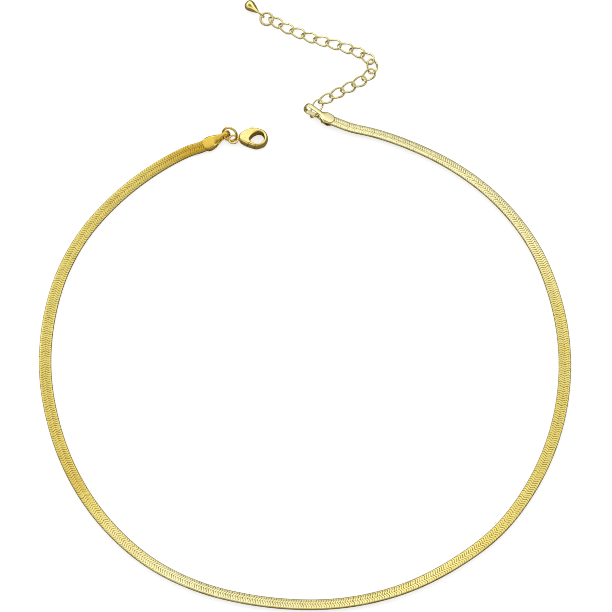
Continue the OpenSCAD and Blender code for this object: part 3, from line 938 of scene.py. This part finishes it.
# %% Trigger and pin
def trigger_piece():
    """Hub, plate, stub and gate in one, bored for the pin."""
    low, high = clasp_t / 2 - trigger_t / 2, clasp_t / 2 + trigger_t / 2
    part = tube("trigger_lever", put(plate(disc(pivot, hub_r, 64), low, high), claw_place))
    carve_plate(part, arm(gate_way, plate_w, arm_start, cheek_r + plate_lap), low, high, "UNION")
    carve(part, lever("stub", stub_way, stub_w, trigger_t, arm_start, stub_reach), "UNION")
    gate = claw_casting("gate")
    carve_plate(gate, gate_stretch(0), -past_face, clasp_t + past_face, "INTERSECT")
    carve(part, gate, "UNION")
    carve_plate(part, disc(pivot, pin_d / 2 + pin_play, 48), -past_bore, clasp_t + past_bore)
    return part


trigger = trigger_piece()
sharpen(trigger, 38)
finish_piece(trigger, cast_gold, "trigger", "clasp_trigger")
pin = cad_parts["clasp_pin"]
pin.data.materials.clear()
pin.data.materials.append(cast_gold)
print("trigger faces:", len(trigger.data.polygons))

# %% [markdown]
# ## Links of the extender
#
# The extender is a curb chain: each oval link is twisted, so that it lies flat while
# its neighbours pass through it. The twist is a rise and fall of the wire's middle
# line, twice round the oval. The oval is a little fuller than an ellipse, as a link
# bent round a flat former is. The links follow each other by chosen headings, with the
# step from one to the next worked out from the link's length, its wire and the play
# between them, shortened a little where the chain turns. The first link is longer and
# thinner than the rest, because it has to pass round the right cap's strip, and the
# first three lean a little as they come down from the cap to the table.

# %% Sizes and places of the links
link_l, first_link_l, link_w, link_wire, first_link_wire = 4.42, 5.8, 3.0, 0.47, 0.4
link_headings = [67, 30, 30, 30, 31, 46, 93, 139, 156, 159, 163, 164, 157, 157, 152, 143]
link_leans = [-19, -9, -3.4] + [0] * 12 + [4]
link_rises = [0.25, 0.14, 0.09] + [0] * 12 + [0.06]
link_play, turn_draw, link_twist, link_z = 0.12, 0.012, 0.42, 0.69
first_link_from_eye = [1.77, 0.64]
link_power = 2.1


def link_spots():
    """Centres of the links, from the right cap's eye to the free end."""
    spots = [right_eye + first_link_from_eye]
    for i in range(1, len(link_headings)):
        a, b = link_headings[i - 1], link_headings[i]
        longer, wires = (first_link_l, first_link_wire + link_wire) if i == 1 else (link_l, 2 * link_wire)
        pitch = (longer + link_l) / 2 - wires - link_play - abs(b - a) * turn_draw
        spots.append(along_way(spots[-1], (a + b) / 2, pitch))
    return spots


spots = link_spots()
print(f"{len(spots)} links, the last one at", np.round(spots[-1], 2))


# %% Bend the links
def curb_link(name, length, wire, matrix, count=96, sides=14):
    """A twisted oval of round wire."""
    a, b = (length - wire) / 2, (link_w - wire) / 2
    t = np.radians(np.arange(count) * 360 / count)
    full = (np.abs(np.cos(t))**link_power + np.abs(np.sin(t))**link_power)**(-1 / link_power)
    mid = np.column_stack([a * full * np.cos(t), b * full * np.sin(t), link_twist * np.sin(2 * t)])
    way = unit(np.roll(mid, -1, 0) - np.roll(mid, 1, 0))
    side = unit(np.cross(way, [0, 0, 1]))
    up = np.cross(side, way)
    q = np.radians(np.arange(sides) * 360 / sides)
    rings = mid[:, None] + wire / 2 * (side[:, None] * np.cos(q)[None, :, None]
                                       + up[:, None] * np.sin(q)[None, :, None])
    return hoop(name, put(rings, matrix))


for i, spot in enumerate(spots):
    place = shift(*spot, link_z + link_rises[i]) @ turn(link_headings[i], "Z") @ turn(link_leans[i], "X")
    length, wire = (first_link_l, first_link_wire) if i == 0 else (link_l, link_wire)
    link = curb_link(f"curb_link_{i + 1:02d}", length, wire, place)
    finish_piece(link, wire_gold, "necklace", f"extender_link_{i + 1:02d}")
print("faces of a link:", len(link.data.polygons))

# %% [markdown]
# ## The free ring and the teardrop
#
# The ring at the free end is open at its seam by a hair, as a bent ring is. The drop
# hangs on it by a small loop. A turned drop is a profile spun round an axis, smooth
# enough that its highlight runs unbroken from the neck to the round end. Both lie as
# they fell: the ring leans a little, and the drop rests on its thick end, so that its
# neck and the loop are a little lower.

# %% Free ring
drop_ring_d, drop_ring_wire, seam_gap, free_ring_z = 3.8, 0.6, 5, 0.77
free_ring = spots[-1] + [-2.37, 0.85]
free_place = shift(*free_ring, free_ring_z) @ turn(80, "Z") @ turn(-16, "Y") @ turn(164, "Z")
free = tube("free_ring", put(wire_ring(drop_ring_d, drop_ring_wire, gap=seam_gap), free_place))
sharpen(free, 50)
finish_piece(free, wire_gold, "necklace", "drop_ring")
print("free ring at", np.round(free_ring, 2))

# %% Teardrop
drop_l, drop_d = 4.9, 2.8
bail_wire, bail_d, bail_z, bail_sink, drop_way, drop_pitch = 0.3, 1.7, 0.87, 0.02, 141, -8.2
drop_profile = np.array([
    [0, 0.1], [0.08, 0.15], [0.18, 0.27], [0.3, 0.45], [0.42, 0.64], [0.54, 0.82], [0.64, 0.94],
    [0.73, 1], [0.82, 0.97], [0.89, 0.85], [0.95, 0.64], [0.985, 0.36], [1, 0]
])  # share of the length, share of the widest half width


def teardrop():
    """The drop and the loop that it hangs by."""
    reach = drop_ring_d / 2 - drop_ring_wire / 2
    spot = along_way(free_ring, drop_way, reach)
    place = shift(*spot, bail_z) @ turn(drop_way, "Z") @ turn(drop_pitch, "Y")
    bail = hoop("drop_bail", put(wire_ring(bail_d, bail_wire, 64, 16), place @ turn(90, "X")))
    profile = smooth(drop_profile, np.linspace(0, len(drop_profile) - 1, 61))
    q = np.radians(np.arange(64) * 360 / 64)
    r = np.maximum(profile[:, 1] * drop_d / 2, 0.004)[:, None]
    x = (np.clip(profile[:, 0], 0, 1) * drop_l + bail_d / 2 - bail_wire - bail_sink)[:, None]
    rings = np.stack(np.broadcast_arrays(x, r * np.cos(q), r * np.sin(q)), -1)
    return bail, tube("teardrop", put(rings, place))


for part in teardrop():
    finish_piece(part, cast_gold, "necklace", "drop")
    print(part.name, len(part.data.vertices), "points")

# %% [markdown]
# ## Table
#
# The photograph is a catalogue picture on pure white. A white table would have to be
# lit so hard that the gold burned out, so the card glows a little by itself instead,
# and the shadows on it stay faint. In the gold's mirror the same card is a dim warm
# grey: that is how far the light falls off below a small shiny thing, and it draws
# the dark lines along the lower edges of wires and castings.

# %% Table top
CARD_DARK, CARD_PALE, CARD_GLOW, CARD_MIRRORED = "#BDBDBC", "#C2C2C2", "#FFFFFF", "#8A8160"
card_glow, pulp_mm, table_half = 0.67, 0.8, 900.0


def table_top():
    """A large sheet of matt white card."""
    material, tree, shader = new_material("matt_white_card")
    tone = add(tree, "ShaderNodeMix", {"data_type": "RGBA", "A": linear(CARD_DARK), "B": linear(CARD_PALE)},
               {"Factor": cloud(tree, pulp_mm, 5.0)})
    tree.links.new(tone.outputs["Result"], shader.inputs["Base Color"])
    shader.inputs["Roughness"].default_value = 0.85
    shader.inputs["Emission Color"].default_value = linear(CARD_GLOW)
    shader.inputs["Emission Strength"].default_value = card_glow
    dim = add(tree, "ShaderNodeBsdfDiffuse", {"Color": linear(CARD_MIRRORED)})
    seen_by = add(tree, "ShaderNodeLightPath")
    both = add(tree, "ShaderNodeMixShader", {}, {"Fac": seen_by.outputs["Is Glossy Ray"]})
    tree.links.new(shader.outputs["BSDF"], both.inputs[1])
    tree.links.new(dim.outputs["BSDF"], both.inputs[2])
    tree.links.new(both.outputs["Shader"], tree.nodes["Material Output"].inputs["Surface"])
    corners = table_half * np.array([[-1, -1, 0], [1, -1, 0], [1, 1, 0], [-1, 1, 0]])
    mesh = bpy.data.meshes.new("table_top")
    mesh.from_pydata((corners * MM).tolist(), [], [[0, 1, 2, 3]])
    mesh.materials.append(material)
    floor = bpy.data.objects.new("table_top", mesh)
    bpy.context.scene.collection.objects.link(floor)


table_top()
print("table:", 2 * table_half, "mm wide")

# %% [markdown]
# ## Light
#
# Metal shows what it mirrors, so the room matters more than the lamps. It is white
# paper all round, brightest high up, which is what the flat band mirrors. It gets
# dimmer towards the far wall, which the leaning stretches at the front mirror, and it
# has a dark place where the camera would stand. Low down there is a dark skirting,
# higher on the right and at the front than on the left, and it draws a thin dark line
# along every edge that faces that way. The right side of the room is a little
# brighter. Two large sheets of light, behind and on the left, add soft shadows.

# %% Lamps
def softbox(name, place_mm, size_mm, watts, colour):
    """A large soft lamp that looks at the middle of the table."""
    light = bpy.data.lights.new(name, "AREA")
    light.shape = "RECTANGLE"
    light.size, light.size_y = size_mm[0] * MM, size_mm[1] * MM
    light.energy = watts
    light.color = linear(colour)[:3]
    lamp = bpy.data.objects.new(name, light)
    lamp.location = [p * MM for p in place_mm]
    lamp.rotation_euler = Vector([-p for p in place_mm]).to_track_quat("-Z", "Y").to_euler()
    bpy.context.scene.collection.objects.link(lamp)


softbox("back_sheet", (-160, 560, 330), (420, 160), 0.4, "#FFFFFF")
softbox("left_sheet", (-560, 160, 420), (260, 300), 0.4, "#FFFFFF")
print("lamps:", len(bpy.data.lights))

# %% Paper room
to_camera_way = (0.0, -0.375, 0.927)
paper_stops = [(0.0, 0.6), (0.12, 0.68), (0.22, 0.94), (0.3, 0.99), (0.7, 1.0), (0.82, 0.92), (0.9, 0.5),
               (1.0, 0.17)]  # 1 is straight at the camera's place, 0 is square to it or behind
brighter_way, room_gain = (0.4, 0.05, 0.0), 1.2
skirting_up = (-0.45, 0.15, 1.0)
skirting_from, skirting_to, skirting_value = 0.1, 0.34, 0.2


def studio_room():
    """White paper all round, with a skirting and a dark place for the camera."""
    world = bpy.data.worlds.new("studio_room")
    bpy.context.scene.world = world
    world.use_nodes = True
    tree = world.node_tree
    where = add(tree, "ShaderNodeTexCoord")
    along = []
    for way in (to_camera_way, brighter_way, skirting_up):
        product = add(tree, "ShaderNodeVectorMath", {"operation": "DOT_PRODUCT"})
        product.inputs[1].default_value = way
        tree.links.new(where.outputs["Generated"], product.inputs[0])
        along.append(product.outputs["Value"])
    ramp = add(tree, "ShaderNodeValToRGB", {}, {"Fac": along[0]})
    ramp.color_ramp.elements[0].position = paper_stops[0][0]
    ramp.color_ramp.elements[1].position = paper_stops[-1][0]
    for place, _ in paper_stops[1:-1]:
        ramp.color_ramp.elements.new(place)
    for element, (_, value) in zip(ramp.color_ramp.elements, paper_stops):
        element.color = (value, value, value, 1.0)
    gain = add(tree, "ShaderNodeMath", {"operation": "ADD"}, {0: along[1]})
    gain.inputs[1].default_value = room_gain
    skirting = spread(tree, along[2], skirting_from, skirting_to, skirting_value, 1.0, "SMOOTHSTEP")
    paper = add(tree, "ShaderNodeMix", {"data_type": "RGBA", "blend_type": "MULTIPLY", "Factor": 1.0},
                {"A": ramp.outputs["Color"], "B": skirting})
    sky = tree.nodes["Background"]
    tree.links.new(paper.outputs["Result"], sky.inputs["Color"])
    tree.links.new(gain.outputs["Value"], sky.inputs["Strength"])


studio_room()
print("room:", len(paper_stops), "tones of paper")

# %% [markdown]
# ## Camera
#
# The picture was taken from high above the front of the necklace. A long lens from
# far away keeps the loop nearly undistorted. The filter that blends neighbouring
# pixels is a little narrower than usual, so that the thin wires stay crisp, and the
# standard view shows white paper as white.

# %% Camera
camera_place, camera_target, lens_mm = (0.28, -228.44, 556.31), (0.28, -3.68, 0), 141.2


def camera():
    """A long lens, 600 mm from the necklace and 68 degrees above the table."""
    data = bpy.data.cameras.new("camera")
    data.sensor_width = 36.0
    data.lens = lens_mm
    data.clip_start, data.clip_end = 0.01, 20.0
    seen = bpy.data.objects.new("camera", data)
    target = Vector(camera_target) * MM
    seen.location = Vector(camera_place) * MM
    seen.rotation_euler = (target - seen.location).to_track_quat("-Z", "Y").to_euler()
    bpy.context.scene.collection.objects.link(seen)
    bpy.context.scene.camera = seen


camera()
bpy.context.scene.view_settings.view_transform = "Standard"
bpy.context.scene.cycles.filter_width = 1.0
print("camera:", lens_mm, "mm lens")
